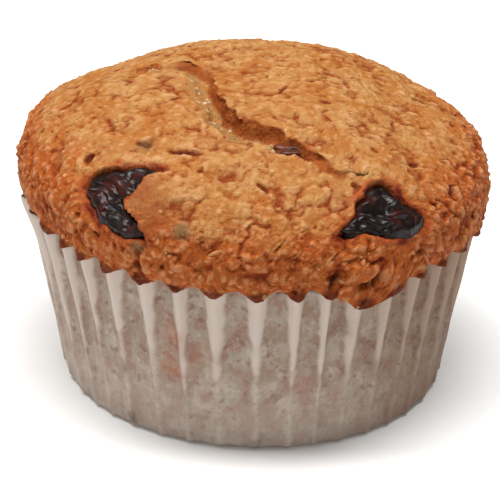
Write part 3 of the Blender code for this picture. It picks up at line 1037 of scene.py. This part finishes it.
def crustMaterial(looks):
    material, tree, shader, place = newMaterial("crust")
    patches = speckle(tree, place, 4.5, 4)
    colour = blendColour(tree, remap(tree, patches, 0.36, 0.64), looks["golden"], looks["pale"])
    low = readMark(tree, "low")
    high = remap(tree, low, 0.0, 1.0, 1.0, 0.75)
    browned = maths(tree, "ADD", low, remap(tree, speckle(tree, place, 3.0, 4), 0.3, 0.7, -0.3, 0.3))
    colour = blendColour(tree, remap(tree, browned, 0.1, 0.95), colour, looks["brown"])
    mottle = speckle(tree, place, 1.1, 5, 0.7)
    flakeTone = blendColour(tree, low, looks["flake"], looks["peach"])
    lighter = maths(tree, "MULTIPLY", remap(tree, mottle, 0.5, 0.7, 0, 0.5), high)
    colour = blendColour(tree, lighter, colour, flakeTone)
    colour = blendColour(tree, remap(tree, mottle, 0.47, 0.3, 0, 0.65), colour, looks["amber"])
    rusty = maths(tree, "MULTIPLY", remap(tree, speckle(tree, place, 2.0, 5, 0.65), 0.5, 0.66), 0.7)
    colour = blendColour(tree, maths(tree, "MULTIPLY", rusty, low), colour, looks["rust"])
    fine = speckle(tree, place, 0.42, 3, 0.6)
    colour = blendColour(tree, remap(tree, fine, 0.56, 0.7, 0, 0.25), colour, flakeTone)
    colour = blendColour(tree, remap(tree, fine, 0.44, 0.3, 0, 0.25), colour, looks["deep"])
    grain = readMark(tree, "grain")
    # painted highlight on the tops of the grains and painted shade in the gaps between them
    colour = blendColour(tree, remap(tree, grain, 0.5, 0.95, 0, 0.55), colour, flakeTone)
    colour = blendColour(tree, remap(tree, grain, 0.25, 0.0, 0, 0.35), colour, looks["amber"])
    cavity = readMark(tree, "cavity")
    hollow = readMark(tree, "hollow")
    # painted shade: hollows and cavities darkened towards the deep tone
    colour = blendColour(tree, remap(tree, hollow, 0.0, -0.32, 0, 0.75), colour, looks["deep"])
    colour = blendColour(tree, remap(tree, cavity, -0.03, -0.18, 0, 0.8), colour, looks["deep"])
    # painted highlight: raised bits lightened towards the flake tone, less at the foot
    raised = maths(tree, "MULTIPLY", remap(tree, cavity, 0.03, 0.15, 0, 0.6), high)
    colour = blendColour(tree, raised, colour, flakeTone)
    colour = blendColour(tree, maths(tree, "MULTIPLY", readMark(tree, "flake"), 0.55), colour, flakeTone)
    # painted shade: creases, pits and seams darkened towards the deep tone
    colour = blendColour(tree, maths(tree, "MULTIPLY", readMark(tree, "crease"), 0.6), colour, looks["deep"])
    redder = maths(tree, "MULTIPLY", readMark(tree, "lump"), remap(tree, mottle, 0.3, 0.6, 0.8, 0.2))
    colour = blendColour(tree, redder, colour, looks["rust"])
    # painted shade: splits and clefts darkened towards the pit tone
    colour = blendColour(tree, maths(tree, "MULTIPLY", readMark(tree, "split"), 0.85), colour, looks["pit"])
    crumbTone = blendColour(tree, remap(tree, speckle(tree, place, 1.2, 4), 0.42, 0.6), looks["crumb"], looks["crumbGrey"])
    crumbTone = blendColour(tree, remap(tree, fine, 0.47, 0.36, 0, 0.6), crumbTone, looks["amber"])
    crumbTone = blendColour(tree, remap(tree, readMark(tree, "bead"), 0.1, 0.7, 0, 0.85), crumbTone, looks["bead"])
    soaked = maths(tree, "ADD", readMark(tree, "crumb"), remap(tree, mottle, 0.3, 0.7, -0.4, 0.4))
    colour = blendColour(tree, remap(tree, soaked, 0.15, 0.75), colour, crumbTone)
    # the steep wall under the torn edge: red-brown crust, darkened in part as painted shade for its overhang
    wallToneAndShade = blendColour(tree, remap(tree, mottle, 0.4, 0.64, 0, 0.7), looks["tornWallAndShade"], looks["amber"])
    colour = blendColour(tree, maths(tree, "MULTIPLY", readMark(tree, "face"), 0.9), colour, wallToneAndShade)
    colour = blendColour(tree, maths(tree, "MULTIPLY", readMark(tree, "moist"), 0.8), colour, looks["moist"])
    colour = blendColour(tree, maths(tree, "MULTIPLY", readMark(tree, "grey"), 0.8), colour, looks["grey"])
    stained = maths(tree, "ADD", readMark(tree, "stain"), remap(tree, mottle, 0.3, 0.7, -0.2, 0.2))
    colour = blendColour(tree, remap(tree, stained, 0.05, 0.5, 0, 0.8), colour, looks["juicy"])
    colour = blendColour(tree, remap(tree, stained, 0.45, 0.9), colour, looks["stain"])
    # painted shade: the drooping lip over each crest and the rings tucked under it darkened to a dark maroon
    colour = blendColour(tree, remap(tree, readMark(tree, "lipShade"), 0.3, 0.8, 0, 0.85), colour, looks["lipShade"])
    tree.links.new(colour, shader.inputs["Base Color"])
    shader.inputs["Specular IOR Level"].default_value = 0.12
    shader.inputs["Subsurface Weight"].default_value = 0.08
    shader.inputs["Subsurface Scale"].default_value = 0.001
    shader.inputs["Subsurface Radius"].default_value = (1.0, 0.4, 0.15)
    rough = remap(tree, mottle, 0.3, 0.7, looks["roughness"] - 0.1, looks["roughness"] + 0.15)
    tree.links.new(rough, shader.inputs["Roughness"])
    fineGrain = speckle(tree, place, 0.5, 4, 0.62)
    cells = grainCells(tree, place, 0.6)
    bumps = maths(tree, "ADD", fineGrain, maths(tree, "MULTIPLY", cells, -0.4))
    bump = addNode(tree, "ShaderNodeBump", {"Strength": 0.75, "Distance": 0.0005, "Height": bumps})
    tree.links.new(bump.outputs[0], shader.inputs["Normal"])
    return material


paperLooks = {
    "clean": tone(202, 186, 174),
    "greasy": tone(154, 132, 115),
    "grey": tone(165, 150, 134),
    "pinkish": tone(150, 116, 101),
    "spot": tone(124, 90, 74),
    "olive": tone(146, 130, 104),
    "juice": tone(164, 98, 66),
    "seep": tone(92, 70, 48),
    "soaked": tone(184, 154, 126),  # the right side, darker and warmer: part grease, part painted shade
    "roughness": 0.6,
}


def paperMaterial(looks):
    material, tree, shader, place = newMaterial("paper")
    pressed = readMark(tree, "pressed")
    upright = addNode(tree, "ShaderNodeVectorMath", {0: place, 1: (1, 1, 0.7)}, operation="MULTIPLY").outputs[0]
    cloud = speckle(tree, upright, 3.0, 3, 0.55)
    colour = blendColour(tree, remap(tree, cloud, 0.4, 0.6), looks["greasy"], looks["grey"])
    blush = speckle(tree, upright, 1.9, 4, 0.6)
    colour = blendColour(tree, remap(tree, blush, 0.5, 0.62, 0, 0.9), colour, looks["pinkish"])
    colour = blendColour(tree, remap(tree, blush, 0.46, 0.32, 0, 0.45), colour, looks["clean"])
    spots = speckle(tree, place, 1.2, 2, 0.5)
    colour = blendColour(tree, remap(tree, spots, 0.54, 0.72, 0, 0.75), colour, looks["spot"])
    colour = blendColour(tree, remap(tree, spots, 0.44, 0.32, 0, 0.7), colour, looks["olive"])
    fine = speckle(tree, place, 0.7, 4, 0.6)
    colour = blendColour(tree, remap(tree, fine, 0.42, 0.3, 0, 0.15), colour, looks["pinkish"])
    colour = blendColour(tree, remap(tree, fine, 0.55, 0.7, 0, 0.3), colour, looks["clean"])
    edge = speckle(tree, upright, 1.8, 3, 0.5)
    soaked = maths(tree, "ADD", pressed, remap(tree, edge, 0.3, 0.7, -0.2, 0.2))
    # clean where the paper stands free of the cake, and along the painted highlight lines on the crests
    colour = blendColour(tree, remap(tree, soaked, 0.1, 0.9), looks["clean"], colour)
    colour = blendColour(tree, remap(tree, readMark(tree, "level"), 0.6, 0.0, 0, 0.4), colour, looks["clean"])
    spilt = maths(tree, "MULTIPLY", readMark(tree, "spill"), remap(tree, spots, 0.3, 0.6, 0.3, 1.0))
    colour = blendColour(tree, spilt, colour, looks["juice"])
    seeped = maths(tree, "MULTIPLY", readMark(tree, "seep"), remap(tree, spots, 0.3, 0.6, 0.4, 1.0))
    colour = blendColour(tree, seeped, colour, looks["seep"])
    # darker and warmer on the right side: part grease, part painted shade
    shaded = maths(tree, "MULTIPLY", readMark(tree, "soaked"), 0.75)
    colour = blendColour(tree, shaded, colour, looks["soaked"], "MULTIPLY")
    tree.links.new(colour, shader.inputs["Base Color"])
    shader.inputs["Specular IOR Level"].default_value = 0.25
    rough = remap(tree, pressed, 0.2, 0.9, looks["roughness"] + 0.15, looks["roughness"] - 0.1)
    tree.links.new(rough, shader.inputs["Roughness"])
    fibre = speckle(tree, place, 0.4, 4, 0.6)
    bump = addNode(tree, "ShaderNodeBump", {"Strength": 0.4, "Distance": 0.0002, "Height": fibre})
    tree.links.new(bump.outputs[0], shader.inputs["Normal"])
    return material


raisinLooks = {
    "skin": tone(19, 9, 6),
    # the skin's dusty bloom, and painted sheen
    "bloomAndSheen": tone(38, 23, 20),
    "burgundy": tone(66, 20, 11),
    "dusty": tone(104, 48, 28),
    "roughness": 0.34,
    "coat": 0.14,
}


def raisinMaterial(looks):
    material, tree, shader, place = newMaterial("raisin")
    patches = speckle(tree, place, 1.6, 3)
    # greyish patches: partly the skin's bloom, partly painted sheen
    colour = blendColour(tree, remap(tree, patches, 0.5, 0.72, 0, 0.6), looks["skin"], looks["bloomAndSheen"])
    fold = readMark(tree, "fold")
    # painted sheen: the tops of the folds lightened towards the bloom tone
    colour = blendColour(tree, remap(tree, fold, 0.1, 0.5, 0, 0.25), colour, looks["bloomAndSheen"])
    warm = speckle(tree, place, 2.8, 2)
    colour = blendColour(tree, remap(tree, warm, 0.5, 0.7, 0, 0.7), colour, looks["burgundy"])
    dusty = maths(tree, "MULTIPLY", readMark(tree, "dry"), remap(tree, patches, 0.3, 0.6, 0.35, 1.0))
    colour = blendColour(tree, dusty, colour, looks["dusty"])
    tree.links.new(colour, shader.inputs["Base Color"])
    rough = remap(tree, speckle(tree, place, 0.9, 3), 0.35, 0.7, looks["roughness"] - 0.08, looks["roughness"] + 0.3)
    tree.links.new(rough, shader.inputs["Roughness"])
    shader.inputs["Specular IOR Level"].default_value = 0.17
    shader.inputs["Coat Weight"].default_value = looks["coat"]
    shader.inputs["Coat Roughness"].default_value = 0.08
    wrinkle = speckle(tree, place, 0.4, 3, 0.6)
    bump = addNode(tree, "ShaderNodeBump", {"Strength": 0.4, "Distance": 0.0001, "Height": wrinkle})
    tree.links.new(bump.outputs[0], shader.inputs["Normal"])
    return material


# put the pieces together


def place(piece, material, slot, *nodes):
    piece.data.materials.append(material)
    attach(piece, "root")
    if nodes:
        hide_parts(*nodes)


crustSkin = crustMaterial(crustLooks)
crustPoints, crustAngle, crustMarks = buildCrust()
place(addCake(crustPoints, crustAngle, crustMarks), crustSkin, "crust", "cake")
print("cake made")
place(addCrumbs(crustPoints, crustMarks), crustSkin, "crust")
print("crumbs laid")
place(addCase(), paperMaterial(paperLooks), "paper", "paper_case")
print("paper case made")
fruitSkin = raisinMaterial(raisinLooks)
for raisinName, raisinChoice in raisinSet.items():
    place(addRaisin(raisinName, raisinChoice), fruitSkin, "raisin", raisinName)
print("raisins made")


# table, light and sky

studioSet = {
    "tableSize": 8.0,
    "table": tone(243, 243, 242),
    "tableGlow": 0.09,
    "sky": 0.16,
    "keyPower": 8.2,
    "keySizes": (0.7, 0.24),
    "keyPlace": (-0.06, -0.05, 0.7),
    "keyAim": (-0.06, -0.05, 0.0),
    "fillPower": 0.25,
    "fillSizes": (0.5, 0.5),
    "fillPlace": (-0.5, -0.15, 0.4),
    "fillAim": (0.0, 0.0, 0.02),
}


def addTable(choice):
    half = choice["tableSize"] / 2
    mesh = bpy.data.meshes.new("table")
    corners = [(-half, -half, 0), (half, -half, 0), (half, half, 0), (-half, half, 0)]
    mesh.from_pydata(corners, [], [(0, 1, 2, 3)])
    table = bpy.data.objects.new("table", mesh)
    table.location.z = cadBox[0].z
    bpy.context.scene.collection.objects.link(table)
    material, tree, shader, place = newMaterial("table")
    shader.inputs["Base Color"].default_value = choice["table"]
    shader.inputs["Roughness"].default_value = 0.9
    shader.inputs["Specular IOR Level"].default_value = 0.1
    shader.inputs["Emission Color"].default_value = choice["table"]
    shader.inputs["Emission Strength"].default_value = choice["tableGlow"]
    mesh.materials.append(material)


def addLamp(name, power, sizes, place, aim):
    data = bpy.data.lights.new(name, "AREA")
    data.energy = power
    data.shape = "RECTANGLE"
    data.size, data.size_y = sizes
    lamp = bpy.data.objects.new(name, data)
    lamp.location = place
    lamp.rotation_euler = (Vector(aim) - Vector(place)).to_track_quat("-Z", "Y").to_euler()
    bpy.context.scene.collection.objects.link(lamp)


def addSky(strength):
    world = bpy.data.worlds.new("studio")
    world.use_nodes = True
    sky = world.node_tree.nodes["Background"]
    sky.inputs["Color"].default_value = (1.0, 1.0, 1.0, 1.0)
    sky.inputs["Strength"].default_value = strength
    bpy.context.scene.world = world


addTable(studioSet)
addLamp("key", studioSet["keyPower"], studioSet["keySizes"], studioSet["keyPlace"], studioSet["keyAim"])
addLamp("fill", studioSet["fillPower"], studioSet["fillSizes"], studioSet["fillPlace"], studioSet["fillAim"])
addSky(studioSet["sky"])
bpy.context.scene.view_settings.view_transform = "Standard"
print("studio lit")
